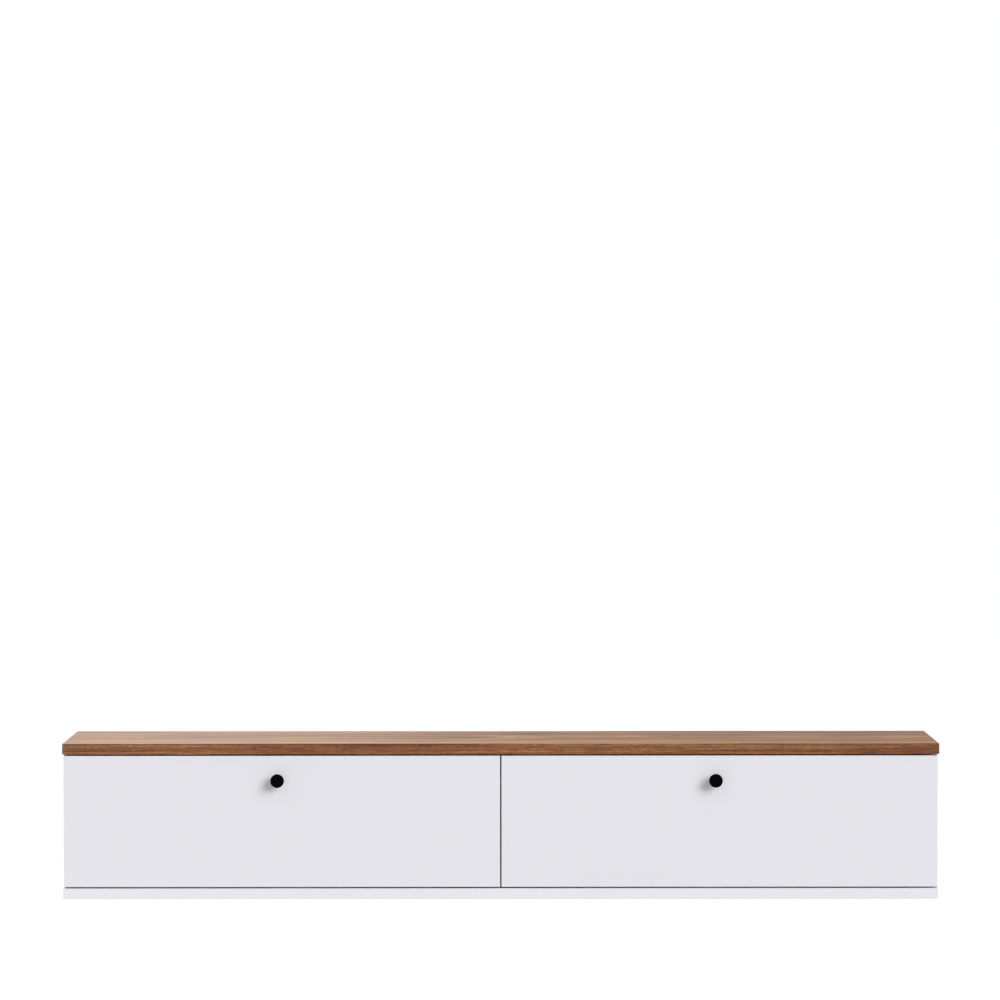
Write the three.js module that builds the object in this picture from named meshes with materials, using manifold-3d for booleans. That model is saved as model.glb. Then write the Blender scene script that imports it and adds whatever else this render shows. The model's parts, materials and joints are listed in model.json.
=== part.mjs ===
// Floating media console: a wall-hung cabinet with two drop-down flap doors.
// Millimetres. X is along the wall, -Y is the front, +Z is up.
// The pieces are drawn with the wall plane at y = 0 and the underside at z = 0. The whole group is
// then lowered, so that the origin is the middle of the wall rail's seat on the wall.

import * as THREE from "three";
import { mergeVertices } from "three/addons/utils/BufferGeometryUtils.js";
import Module from "manifold-3d";

const wasm = await Module();
wasm.setup();

// Case
const topWidth = 1800;
const topDepth = 320;
const consoleHeight = 320;
const boardThickness = 22; // top and bottom boards
const panelThickness = 18; // sides, divider and doors
const endSetIn = 1.5; // ends of the body in from the ends of the top
const frontSetBack = 2; // doors and bottom board behind the top's front edge
const doorGap = 3; // over, under and between the doors
const doorReveal = 1.25; // door ends in from the ends of the body

// Fits
const seam = 0.3; // between pieces that seat on each other
const runningGap = 0.25; // round a pin that turns
const cutOverrun = 1;

// Back panel and cable ways
const backThickness = 3;
const backRecess = 20; // free depth behind the back panel
const grooveDepth = 5;
const cableNotchWidth = 80;
const cableNotchDepth = 14;
const grommetBore = 50;
const grommetWall = 4;
const grommetFlange = 4; // flange beyond the tube
const grommetFlangeStock = 2;
const grommetTube = 9; // tube behind the flange
const grommetHeight = 110; // middle of the grommet over the underside

// Wall rail and hangers
const railStock = 2;
const railEndGap = 10;
const railSeatHeight = 26; // flange that lies on the wall
const railStep = 7; // lip in front of the wall
const railLip = 14;
const railTopDrop = 22; // rail's top edge under the top board
const railHoleDiameter = 6.5;
const railHolePitch = 280;
const railHolePairs = 3;
const hangerWidth = 18;
const hangerDepth = 44;
const hangerHeight = 58;
const hangerCorner = 3;
const adjusterDiameter = 7;
const adjusterDepth = 3;
const adjusterPitch = 24;
const hookStock = 4;
const hookNeck = 11;
const hookClaw = 4;
const hookDrop = 10;
const hookLead = 1.5;
const hookRoot = 32;
const hookRootHeight = 34;
const hookPlay = 2;

// Let-in flap hinges
const hingeEndInset = 100; // middle of a hinge in from the end of its door
const pivotInset = 6.5; // pin behind the door's front face
const dipClearance = 0.45; // under the door's front corner as it turns
const sweepClearance = 1; // behind the door's rear corner as it turns
const hingePinDiameter = 3.5;
const hingePinChamfer = 0.4;
const hingeEyeWall = 1.2;
const hingeEyePlay = 0.5;
const hingeArmWidth = 10;
const hingeArmStock = 2.6;
const hingeSidePlay = 1;
const hingeCheek = 1.6;
const hingeFlangeWidth = 38;
const hingeFlangeHeight = 24;
const hingeFlangeRise = 2; // flange over the door's bottom edge
const hingeFlangeStock = 1.2;
const hingeFlangeCorner = 4;
const hingeScrewPitch = 26;
const hingeScrewHole = 3.6;
const armStraight = 16; // level part of the arm behind the pin
const armJoggle = 9;
const armFoot = 38;
const armSlotWidth = 4.4;
const armSlotLength = 9;
const plateBase = 2;
const plateRail = 2.8;
const plateLength = 40;
const plateWidth = 12;
const plateWings = 46;
const plateRailInset = 2;
const plateWingDepth = 14;
const plateCorner = 3;
const plateWingPitch = 32;
const plateWingHole = 4.2;
const plateThreadHole = 3.4;

// Soft-down flap stays: a parallelogram of flap, link, crank and case
const stayStock = 3; // crank, link and bracket
const stayLayerGap = 0.6;
const stayPinDiameter = 6;
const stayPinHeadDiameter = 10;
const stayPinHead = 1.5;
const stayPinSeat = 9; // pin in the damper housing
const stayEye = 8; // radius of the eyes
const stayRootEye = 11; // radius of the crank at the damper
const stayBarWidth = 11;
const stayPinPlay = 4; // link's eye behind the door
const stayPinRise = 85; // flap pin over the flap's pivot
const stayLinkRun = 125;
const stayLinkRise = 45;
const damperFore = 30;
const damperAft = 46;
const damperHeight = 56;
const damperThickness = 13.5;
const damperCorner = 12;
const damperStep = 3;
const damperHole = 4.5;
const damperHoleInset = 9;
const damperDialDiameter = 12;
const damperDialDepth = 2;
const damperDialAft = 26;
const bracketWidth = 28;
const bracketHeight = 52;
const bracketRoot = 36;
const bracketCorner = 4;
const bracketHole = 4.5;
const bracketHolePitch = 32;

// Knobs
const knobDiameter = 28;
const knobProjection = 25;
const knobHead = 9;
const knobRim = 2.6; // round of the front rim
const knobBackTaper = 5;
const knobNeckDiameter = 11;
const knobFootDiameter = 16;
const knobFoot = 3;
const knobDrop = 50; // knob's middle under the door's top edge
const knobShift = 8.5; // both knobs stand this far left of their door's middle
const knobScrewDiameter = 4;
const knobScrewGrip = 12;
const knobScrewHead = 2.4;
const knobScrewHeadDiameter = 8.5;
const knobScrewRecess = 2;
const knobScrewRecessDepth = 1.2;

// Catches and bumpers
const catchInset = 40; // catch beside the divider
const catchWidth = 46;
const catchDepth = 14;
const catchHeight = 17;
const catchCorner = 2;
const poleWidth = 32;
const poleStock = 2;
const poleReach = 1.2;
const polePitch = 6;
const strikeWidth = 40;
const strikeHeight = 11;
const strikeStock = 1.2;
const strikeCorner = 2;
const strikeHole = 3.6;
const bumperDiameter = 6;
const bumperRound = 1;
const bumperDrop = 30; // bumper under the door's top edge

// Faceting and shares: an arc of an outline has twice as many facets as its steps
const holeSteps = 7;
const eyeSteps = 9;
const slotSteps = 4;
const cornerSteps = 2;
const turnedSteps = 16;
const grommetSteps = 36;
const knobSteps = 36;
const knobRimSteps = 4;
const bendShare = Math.tan(Math.PI / 8);
const weldDistance = 1e-4;

// Planes and lines worked out from the sizes above
const bodyHalf = topWidth / 2 - endSetIn;
const innerHalf = bodyHalf - panelThickness;
const dividerHalf = panelThickness / 2;
const frontY = frontSetBack - topDepth;
const doorBackY = frontY + panelThickness;
const boardTopZ = boardThickness;
const topUnderZ = consoleHeight - boardThickness;
const doorBottomZ = boardTopZ + doorGap;
const doorTopZ = topUnderZ - doorGap;
const backRearY = -backRecess;
const backFrontY = backRearY - backThickness;
const bayMiddle = (innerHalf + dividerHalf) / 2;
const railTopZ = topUnderZ - railTopDrop;
const railStepTopZ = railTopZ - railLip;
const railSeatTopZ = railStepTopZ - railStep;
const railSeatBottomZ = railSeatTopZ - railSeatHeight;
const originHeight = (railSeatTopZ + railSeatBottomZ) / 2;

// The flap's pin is as high as keeps its front corner clear of the bottom board, and the sides stand
// as far back as its rear corner needs.
const cornerDip = doorGap - dipClearance;
const pivotRise = (pivotInset ** 2 - cornerDip ** 2) / (2 * cornerDip);
const pivot = new THREE.Vector2(frontY + pivotInset, doorBottomZ + pivotRise);
const rearSweep = Math.hypot(panelThickness - pivotInset, pivotRise);
const sideFrontY = pivot.x + rearSweep + sweepClearance;

const hingeEye = hingePinDiameter / 2 + runningGap + hingeEyeWall;
const cheekInner = hingeArmWidth / 2 + hingeSidePlay;
const cheekOuter = cheekInner + hingeCheek;
const pocketFrontY = pivot.x - hingeEye - hingeEyePlay;
const roofZ = pivot.y + hingeEye + hingeEyePlay;
const plateTopZ = boardTopZ + seam + plateBase + plateRail;

const flapPin = new THREE.Vector2(doorBackY + stayEye + stayPinPlay, pivot.y + stayPinRise);
const linkVector = new THREE.Vector2(stayLinkRun, stayLinkRise);
const crankRoot = pivot.clone().add(linkVector);
const crankPin = flapPin.clone().add(linkVector);
const damperFace = seam + damperThickness;
const crankFace = damperFace + stayLayerGap;
const linkFace = crankFace + stayStock + stayLayerGap;
const bracketFace = linkFace + stayStock + stayLayerGap;

const knobZ = doorTopZ - knobDrop;
const catchZ = topUnderZ - seam - catchHeight / 2;
const catchMiddle = dividerHalf + catchInset + catchWidth / 2;
const strikeRearY = doorBackY + seam + strikeStock;
const poleFrontY = strikeRearY + seam;

// Materials
const finishes = {
  walnut: { color: 0xa07356, roughness: 0.5, metalness: 0 },
  whiteLacquer: { color: 0xe6e5ea, roughness: 0.42, metalness: 0 },
  whiteBack: { color: 0xd9d8da, roughness: 0.6, metalness: 0 },
  blackKnob: { color: 0x0d0c11, roughness: 0.45, metalness: 0.1 },
  nickel: { color: 0xb9b6b0, roughness: 0.3, metalness: 1 },
  zinc: { color: 0xa9acb0, roughness: 0.45, metalness: 1 },
  greyPlastic: { color: 0x8b8d90, roughness: 0.55, metalness: 0 },
  whitePlastic: { color: 0xd8d8d6, roughness: 0.5, metalness: 0 },
  clearRubber: { color: 0xcfd2d4, roughness: 0.35, metalness: 0 },
};

/** Turns a closed geometry into a solid that can be joined and cut. */
function solidOf(geometry) {
  const bare = geometry.index ? geometry.toNonIndexed() : geometry.clone();
  bare.deleteAttribute("normal");
  bare.deleteAttribute("uv");
  const welded = mergeVertices(bare, weldDistance);
  const corners = welded.index.array;
  const kept = [];
  for (let first = 0; first < corners.length; first += 3) {
    const [a, b, c] = corners.slice(first, first + 3);
    if (a !== b && b !== c && c !== a) {
      kept.push(a, b, c);
    }
  }
  return new wasm.Manifold(
    new wasm.Mesh({
      numProp: 3,
      vertProperties: welded.attributes.position.array,
      triVerts: new Uint32Array(kept),
    }),
  );
}

/** Makes the named mesh of a solid, with a material of its own. */
function meshOf(name, solid, finish) {
  const made = solid.getMesh();
  const geometry = new THREE.BufferGeometry();
  geometry.setAttribute("position", new THREE.BufferAttribute(made.vertProperties, made.numProp));
  geometry.setIndex(new THREE.BufferAttribute(made.triVerts, 1));
  geometry.computeVertexNormals();
  const mesh = new THREE.Mesh(geometry, new THREE.MeshStandardMaterial(finish));
  mesh.name = name;
  return mesh;
}

/** A box from one corner to the opposite one, each span given either way round. */
function block([x0, x1], [y0, y1], [z0, z1]) {
  const box = new THREE.BoxGeometry(Math.abs(x1 - x0), Math.abs(y1 - y0), Math.abs(z1 - z0));
  return solidOf(box.translate((x0 + x1) / 2, (y0 + y1) / 2, (z0 + z1) / 2));
}

const axisX = new THREE.Vector3(1, 0, 0);
const axisY = new THREE.Vector3(0, 1, 0);
const axisZ = new THREE.Vector3(0, 0, 1);

function extruded(outline, length, steps) {
  return new THREE.ExtrudeGeometry(outline, {
    depth: length,
    bevelEnabled: false,
    curveSegments: steps,
  });
}

/** An outline in (y, z), carried along X. */
function alongX(outline, [x0, x1], steps = holeSteps) {
  const turn = new THREE.Matrix4().makeBasis(axisY, axisZ, axisX);
  const geometry = extruded(outline, Math.abs(x1 - x0), steps).applyMatrix4(turn);
  return solidOf(geometry.translate(Math.min(x0, x1), 0, 0));
}

/** An outline in (x, z), carried along Y. */
function alongY(outline, [y0, y1], steps = holeSteps) {
  const turn = new THREE.Matrix4().makeBasis(axisX, axisZ, axisY.clone().negate());
  const geometry = extruded(outline, Math.abs(y1 - y0), steps).applyMatrix4(turn);
  return solidOf(geometry.translate(0, Math.max(y0, y1), 0));
}

/** An outline in (x, y), carried along Z. */
function alongZ(outline, [z0, z1], steps = holeSteps) {
  const geometry = extruded(outline, Math.abs(z1 - z0), steps);
  return solidOf(geometry.translate(0, 0, Math.min(z0, z1)));
}

/** A turned body from its profile of [radius, place along the axis], with its axis along Y. */
function turned(profile, steps = turnedSteps) {
  const points = profile.map(([radius, along]) => new THREE.Vector2(radius, along));
  return new THREE.LatheGeometry(points, steps);
}

/** A turned body laid along X, its start at x and its axis at a point in (y, z). */
function turnedOnX(profile, x, at, direction) {
  const geometry = turned(profile).rotateZ((-direction * Math.PI) / 2);
  return solidOf(geometry.translate(x, at.x, at.y));
}

function circle(x, y, radius) {
  return new THREE.Shape().absarc(x, y, radius, 0, 2 * Math.PI, false);
}

function polygon(points) {
  return new THREE.Shape(points.map(([x, y]) => new THREE.Vector2(x, y)));
}

function roundedRectangle([x0, x1], [y0, y1], radius) {
  const left = Math.min(x0, x1) + radius;
  const right = Math.max(x0, x1) - radius;
  const low = Math.min(y0, y1) + radius;
  const high = Math.max(y0, y1) - radius;
  const quarter = Math.PI / 2;
  return new THREE.Shape()
    .absarc(right, low, radius, -quarter, 0, false)
    .absarc(right, high, radius, 0, quarter, false)
    .absarc(left, high, radius, quarter, 2 * quarter, false)
    .absarc(left, low, radius, 2 * quarter, 3 * quarter, false);
}

/** Two round ends joined by their outer tangents. */
function leverOutline(from, fromRadius, to, toRadius) {
  const along = Math.atan2(to.y - from.y, to.x - from.x);
  const lean = Math.acos((fromRadius - toRadius) / from.distanceTo(to));
  return new THREE.Shape()
    .absarc(from.x, from.y, fromRadius, along + lean, along - lean, false)
    .absarc(to.x, to.y, toRadius, along - lean, along + lean, false);
}

/** Two round eyes joined by a bar narrower than they are. */
function linkOutline(from, to, eye, barHalf) {
  const along = Math.atan2(to.y - from.y, to.x - from.x);
  const neck = Math.asin(barHalf / eye);
  const back = along + Math.PI;
  return new THREE.Shape()
    .absarc(from.x, from.y, eye, along + neck, along - neck, false)
    .absarc(to.x, to.y, eye, back + neck, back - neck, false);
}

/** A span centred on a value. */
function about(middle, width) {
  return [middle - width / 2, middle + width / 2];
}

/** A door's inner and outer ends on a side, which is -1 on the left and 1 on the right. */
function doorSpan(side) {
  return [(side * doorGap) / 2, side * (bodyHalf - doorReveal)];
}

function hingePlaces(side) {
  const [inner, outer] = doorSpan(side);
  return { inner: inner + side * hingeEndInset, outer: outer - side * hingeEndInset };
}

function knobX(side) {
  const [inner, outer] = doorSpan(side);
  return (inner + outer) / 2 - knobShift;
}

/** The place of something that stands off the inner face of a side panel, towards the bay. */
function offSide(side, distance) {
  return side * (innerHalf - distance);
}

function backGroove(z0, z1) {
  const reach = innerHalf + grooveDepth;
  return block([-reach, reach], [backFrontY - seam, backRearY + seam], [z0, z1]);
}

function topPanel() {
  const board = block(
    [-topWidth / 2, topWidth / 2],
    [-topDepth, 0],
    [topUnderZ, consoleHeight],
  );
  return board.subtract(backGroove(topUnderZ - cutOverrun, topUnderZ + grooveDepth));
}

function bottomPanel() {
  let board = block([-bodyHalf, bodyHalf], [frontY, 0], [0, boardTopZ]);
  board = board.subtract(backGroove(boardTopZ - grooveDepth, boardTopZ + cutOverrun));
  for (const side of [-1, 1]) {
    const notch = block(
      about(side * bayMiddle, cableNotchWidth),
      [-cableNotchDepth, cutOverrun],
      [-cutOverrun, boardTopZ + cutOverrun],
    );
    board = board.subtract(notch);
  }
  return board;
}

function sidePanel(side) {
  const panel = block(
    [side * innerHalf, side * bodyHalf],
    [sideFrontY, 0],
    [boardTopZ + seam, topUnderZ - seam],
  );
  const groove = block(
    [side * (innerHalf - cutOverrun), side * (innerHalf + grooveDepth)],
    [backFrontY - seam, backRearY + seam],
    [0, consoleHeight],
  );
  return panel.subtract(groove);
}

function centreDivider() {
  return block(
    [-dividerHalf, dividerHalf],
    [sideFrontY, backFrontY - seam],
    [boardTopZ + seam, topUnderZ - seam],
  );
}

function backPanel() {
  const tongue = grooveDepth - seam;
  const outline = polygon([
    [-innerHalf - tongue, boardTopZ - tongue],
    [innerHalf + tongue, boardTopZ - tongue],
    [innerHalf + tongue, topUnderZ + tongue],
    [-innerHalf - tongue, topUnderZ + tongue],
  ]);
  for (const side of [-1, 1]) {
    const tubeRadius = grommetBore / 2 + grommetWall;
    outline.holes.push(circle(side * bayMiddle, grommetHeight, tubeRadius + seam));
  }
  let panel = alongY(outline, [backFrontY, backRearY], grommetSteps / 2);
  for (const side of [-1, 1]) {
    const slot = block(
      about(hookX(side), hookStock + 2 * hookPlay),
      [backFrontY - cutOverrun, backRearY + cutOverrun],
      [railTopZ + seam - hookPlay, hookTopZ() + hookPlay],
    );
    panel = panel.subtract(slot);
  }
  return panel;
}

function wallRail() {
  const bend = railStock * bendShare;
  const outline = polygon([
    [0, railSeatBottomZ],
    [0, railSeatTopZ],
    [-railStep, railStepTopZ],
    [-railStep, railTopZ],
    [-railStep - railStock, railTopZ],
    [-railStep - railStock, railStepTopZ - bend],
    [-railStock, railSeatTopZ - bend],
    [-railStock, railSeatBottomZ],
  ]);
  const reach = innerHalf - railEndGap;
  let rail = alongX(outline, [-reach, reach]);
  for (let pair = 0; pair < railHolePairs; pair += 1) {
    for (const side of [-1, 1]) {
      const x = side * (pair * railHolePitch + railHolePitch / 2);
      const hole = circle(x, originHeight, railHoleDiameter / 2);
      rail = rail.subtract(alongY(hole, [-railStock - cutOverrun, cutOverrun]));
    }
  }
  return rail;
}

function hookX(side) {
  return offSide(side, seam + hangerWidth / 2);
}

function hookTopZ() {
  return railTopZ + seam + hookNeck;
}

/** Steel plate that passes through the back panel and drops behind the rail's lip. */
function hangerHook(side) {
  const clawFrontY = -railStep + seam;
  const neckZ = railTopZ + seam;
  const tipZ = railTopZ - hookDrop;
  const rootBackY = backFrontY - seam;
  const outline = polygon([
    [rootBackY - hookRoot, hookTopZ() - hookRootHeight],
    [rootBackY, hookTopZ() - hookRootHeight],
    [rootBackY, neckZ],
    [clawFrontY, neckZ],
    [clawFrontY, tipZ + hookLead],
    [clawFrontY + hookLead, tipZ],
    [clawFrontY + hookClaw, tipZ],
    [clawFrontY + hookClaw, hookTopZ()],
    [rootBackY - hookRoot, hookTopZ()],
  ]);
  return alongX(outline, about(hookX(side), hookStock));
}

/** Moulded case that holds the hook's root, with two adjusters in its front. */
function hangerBox(side) {
  const rearY = backFrontY - seam;
  const frontFaceY = rearY - hangerDepth;
  const topZ = topUnderZ - seam;
  const outline = roundedRectangle(
    about(hookX(side), hangerWidth),
    [topZ - hangerHeight, topZ],
    hangerCorner,
  );
  let box = alongY(outline, [frontFaceY, rearY], cornerSteps);
  const slot = block(
    about(hookX(side), hookStock + 2 * seam),
    [rearY - hookRoot - seam, rearY + cutOverrun],
    [hookTopZ() - hookRootHeight - seam, hookTopZ() + seam],
  );
  box = box.subtract(slot);
  for (const step of [-1, 1]) {
    const z = topZ - hangerHeight / 2 + (step * adjusterPitch) / 2;
    const recess = circle(hookX(side), z, adjusterDiameter / 2);
    box = box.subtract(alongY(recess, [frontFaceY - cutOverrun, frontFaceY + adjusterDepth]));
  }
  return box;
}

function cableGrommet(side) {
  const bore = grommetBore / 2;
  const tube = bore + grommetWall;
  const flange = tube + grommetFlange;
  const profile = [
    [bore, -grommetFlangeStock],
    [flange - grommetFlangeStock / 2, -grommetFlangeStock],
    [flange, -grommetFlangeStock / 2],
    [flange, 0],
    [tube, 0],
    [tube, grommetTube],
    [bore, grommetTube],
    [bore, -grommetFlangeStock],
  ];
  const geometry = turned(profile, grommetSteps);
  return solidOf(geometry.translate(side * bayMiddle, backFrontY - seam, grommetHeight));
}

/** Pocket in a door's lower rear corner for a hinge housing. */
function hingePocket(x) {
  return block(
    about(x, 2 * (cheekOuter + seam)),
    [pocketFrontY, doorBackY + cutOverrun],
    [doorBottomZ - cutOverrun, roofZ + hingeFlangeStock + seam],
  );
}

function door(side) {
  let panel = block(doorSpan(side), [frontY, doorBackY], [doorBottomZ, doorTopZ]);
  for (const x of Object.values(hingePlaces(side))) {
    panel = panel.subtract(hingePocket(x));
  }
  const screwWay = circle(knobX(side), knobZ, knobScrewDiameter / 2 + seam);
  return panel.subtract(alongY(screwWay, [frontY - cutOverrun, doorBackY + cutOverrun]));
}

/** Round knob: a foot on the door, a slim neck and a flat head with a rounded rim. */
function knob(side) {
  const radius = knobDiameter / 2;
  const headBack = knobProjection - knobHead;
  const rim = [];
  for (let step = 0; step <= knobRimSteps; step += 1) {
    const angle = (step / knobRimSteps) * (Math.PI / 2);
    rim.push([
      radius - knobRim + knobRim * Math.cos(angle),
      knobProjection - knobRim + knobRim * Math.sin(angle),
    ]);
  }
  const profile = [
    [0, seam],
    [knobFootDiameter / 2, seam],
    [knobFootDiameter / 2, seam + knobFoot / 2],
    [knobNeckDiameter / 2, seam + knobFoot],
    [knobNeckDiameter / 2, headBack - knobBackTaper / 2],
    [radius - knobBackTaper, headBack],
    [radius, headBack + knobBackTaper / 2],
    ...rim,
    [0, knobProjection],
  ];
  const body = turned(profile, knobSteps).rotateX(Math.PI);
  const bore = circle(knobX(side), knobZ, knobScrewDiameter / 2 + seam);
  const screwWay = alongY(bore, [frontY + cutOverrun, frontY - knobScrewGrip - seam]);
  return solidOf(body.translate(knobX(side), frontY, knobZ)).subtract(screwWay);
}

/** Screw through the door into the knob, with a cross recess in its head. */
function knobScrew(side) {
  const shank = knobScrewDiameter / 2;
  const head = knobScrewHeadDiameter / 2;
  const length = panelThickness + seam + knobScrewGrip;
  const profile = [
    [0, -knobScrewHead],
    [head - knobScrewHead / 2, -knobScrewHead],
    [head, -knobScrewHead / 2],
    [head, 0],
    [shank, 0],
    [shank, length],
    [0, length],
  ];
  const x = knobX(side);
  const seatY = doorBackY + seam;
  const geometry = turned(profile).rotateX(Math.PI).translate(x, seatY, knobZ);
  const arm = knobScrewHeadDiameter / 2;
  const depth = [seatY + knobScrewHead - knobScrewRecessDepth, seatY + knobScrewHead + cutOverrun];
  return solidOf(geometry)
    .subtract(block(about(x, arm), depth, about(knobZ, knobScrewRecess / 2)))
    .subtract(block(about(x, knobScrewRecess / 2), depth, about(knobZ, arm)));
}

/** Housing let into the door: two cheeks that hold the pin, a roof and a screwed flange. */
function hingeHousing(x) {
  const flangeRearY = doorBackY + seam + hingeFlangeStock;
  const cheekFrontY = pocketFrontY + seam;
  const lowZ = doorBottomZ + seam;
  const channel = block(
    about(x, 2 * cheekOuter),
    [cheekFrontY, flangeRearY],
    [lowZ, roofZ + hingeFlangeStock],
  );
  const flangeZ = doorBottomZ + hingeFlangeRise;
  const flangeOutline = roundedRectangle(
    about(x, hingeFlangeWidth),
    [flangeZ, flangeZ + hingeFlangeHeight],
    hingeFlangeCorner,
  );
  const flange = alongY(flangeOutline, [doorBackY + seam, flangeRearY], cornerSteps);
  const mouth = block(
    about(x, 2 * cheekInner),
    [cheekFrontY - cutOverrun, flangeRearY + cutOverrun],
    [lowZ - cutOverrun, roofZ],
  );
  const pinWay = circle(pivot.x, pivot.y, hingePinDiameter / 2 + seam);
  let housing = channel.add(flange).subtract(mouth);
  housing = housing.subtract(alongX(pinWay, about(x, 2 * (cheekOuter + cutOverrun))));
  for (const step of [-1, 1]) {
    const hole = circle(
      x + (step * hingeScrewPitch) / 2,
      flangeZ + hingeFlangeHeight / 2,
      hingeScrewHole / 2,
    );
    const through = [doorBackY, flangeRearY + cutOverrun];
    housing = housing.subtract(alongY(hole, through));
  }
  return housing;
}

function hingePin(x) {
  const radius = hingePinDiameter / 2;
  const length = 2 * (cheekOuter - runningGap);
  const profile = [
    [0, 0],
    [radius - hingePinChamfer, 0],
    [radius, hingePinChamfer],
    [radius, length - hingePinChamfer],
    [radius - hingePinChamfer, length],
    [0, length],
  ];
  return turnedOnX(profile, x - length / 2, pivot, 1);
}

/** Arm with an eye round the pin, a level part, a joggle and a slotted foot with a round end. */
function hingeArm(x) {
  const half = hingeArmStock / 2;
  const joggleY = pivot.x + armStraight;
  const footY = joggleY + armJoggle;
  const endY = footY + armFoot;
  const footZ = plateTopZ + seam;
  const neck = Math.asin(half / hingeEye);
  const profile = new THREE.Shape()
    .absarc(pivot.x, pivot.y, hingeEye, neck, -neck, false)
    .lineTo(joggleY, pivot.y - half)
    .lineTo(footY, footZ)
    .lineTo(endY, footZ)
    .lineTo(endY, footZ + hingeArmStock)
    .lineTo(footY, footZ + hingeArmStock)
    .lineTo(joggleY, pivot.y + half);
  profile.holes.push(circle(pivot.x, pivot.y, hingePinDiameter / 2 + runningGap));
  const width = about(x, hingeArmWidth);
  const plan = new THREE.Shape()
    .moveTo(width[0], pivot.x - hingeEye - cutOverrun)
    .lineTo(width[1], pivot.x - hingeEye - cutOverrun)
    .absarc(x, endY - hingeArmWidth / 2, hingeArmWidth / 2, 0, Math.PI, false);
  const slotCentres = about(footY + armFoot / 2, armSlotLength - armSlotWidth);
  const slot = leverOutline(
    new THREE.Vector2(x, slotCentres[0]),
    armSlotWidth / 2,
    new THREE.Vector2(x, slotCentres[1]),
    armSlotWidth / 2,
  );
  return alongX(profile, about(x, hingeArmWidth + cutOverrun), eyeSteps)
    .intersect(alongZ(plan, [0, consoleHeight]))
    .subtract(alongZ(slot, [0, consoleHeight], slotSteps));
}

/** Cross-shaped plate screwed to the bottom board, with a raised rail under the arm's foot. */
function hingePlate(x) {
  const startY = pivot.x + armStraight + armJoggle;
  const spanY = [startY, startY + plateLength];
  const middleY = startY + plateLength / 2;
  const baseZ = [boardTopZ + seam, boardTopZ + seam + plateBase];
  const wing = plateWingDepth / 2;
  const reach = plateWings / 2 - wing;
  const half = plateWidth / 2;
  const quarter = Math.PI / 2;
  const cross = new THREE.Shape()
    .moveTo(x - half, spanY[0])
    .lineTo(x + half, spanY[0])
    .lineTo(x + half, middleY - wing)
    .absarc(x + reach, middleY, wing, -quarter, quarter, false)
    .lineTo(x + half, middleY + wing)
    .lineTo(x + half, spanY[1])
    .lineTo(x - half, spanY[1])
    .lineTo(x - half, middleY + wing)
    .absarc(x - reach, middleY, wing, quarter, 3 * quarter, false)
    .lineTo(x - half, middleY - wing);
  const rail = roundedRectangle(
    about(x, hingeArmWidth),
    [spanY[0] + plateRailInset, spanY[1] - plateRailInset],
    plateCorner,
  );
  let plate = alongZ(cross, baseZ, slotSteps);
  plate = plate.add(alongZ(rail, [baseZ[0] + plateBase / 2, plateTopZ], cornerSteps));
  const through = [0, consoleHeight];
  for (const step of [-1, 1]) {
    const hole = circle(x + (step * plateWingPitch) / 2, middleY, plateWingHole / 2);
    plate = plate.subtract(alongZ(hole, through));
  }
  const threadY = startY + armFoot / 2;
  return plate.subtract(alongZ(circle(x, threadY, plateThreadHole / 2), through));
}

/** Damper housing on the side panel: a stepped moulded body with the crank's pin in it. */
function stayHousing(side) {
  const spanY = [crankRoot.x - damperFore, crankRoot.x + damperAft];
  const spanZ = about(crankRoot.y, damperHeight);
  const stepFace = damperFace - damperStep;
  const body = roundedRectangle(spanY, spanZ, damperCorner);
  const cover = roundedRectangle(
    [spanY[0] + damperStep, spanY[1] - damperStep],
    [spanZ[0] + damperStep, spanZ[1] - damperStep],
    damperCorner - damperStep,
  );
  let housing = alongX(body, [offSide(side, seam), offSide(side, stepFace)], cornerSteps);
  housing = housing.add(
    alongX(cover, [offSide(side, stepFace / 2), offSide(side, damperFace)], cornerSteps),
  );
  const pinWay = circle(crankRoot.x, crankRoot.y, stayPinDiameter / 2 + seam);
  const pinDepth = [offSide(side, damperFace - stayPinSeat), offSide(side, damperFace + cutOverrun)];
  housing = housing.subtract(alongX(pinWay, pinDepth));
  const dial = circle(crankRoot.x + damperDialAft, crankRoot.y, damperDialDiameter / 2);
  housing = housing.subtract(
    alongX(dial, [
      offSide(side, damperFace - damperDialDepth),
      offSide(side, damperFace + cutOverrun),
    ]),
  );
  for (const step of [-1, 1]) {
    const hole = circle(
      (spanY[0] + spanY[1]) / 2 + step * ((spanY[1] - spanY[0]) / 2 - damperHoleInset),
      crankRoot.y + step * (damperHeight / 2 - damperHoleInset),
      damperHole / 2,
    );
    housing = housing.subtract(
      alongX(hole, [offSide(side, 0), offSide(side, damperFace + cutOverrun)]),
    );
  }
  return housing;
}

function stayBore(centre) {
  return circle(centre.x, centre.y, stayPinDiameter / 2 + runningGap);
}

function stayCrank(side) {
  const outline = leverOutline(crankRoot, stayRootEye, crankPin, stayEye);
  outline.holes.push(stayBore(crankRoot), stayBore(crankPin));
  return alongX(outline, [offSide(side, crankFace), offSide(side, crankFace + stayStock)]);
}

function stayLink(side) {
  const span = [offSide(side, linkFace), offSide(side, linkFace + stayStock)];
  const outline = linkOutline(flapPin, crankPin, stayEye, stayBarWidth / 2);
  outline.holes.push(stayBore(flapPin), stayBore(crankPin));
  return alongX(outline, span, eyeSteps);
}

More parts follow.
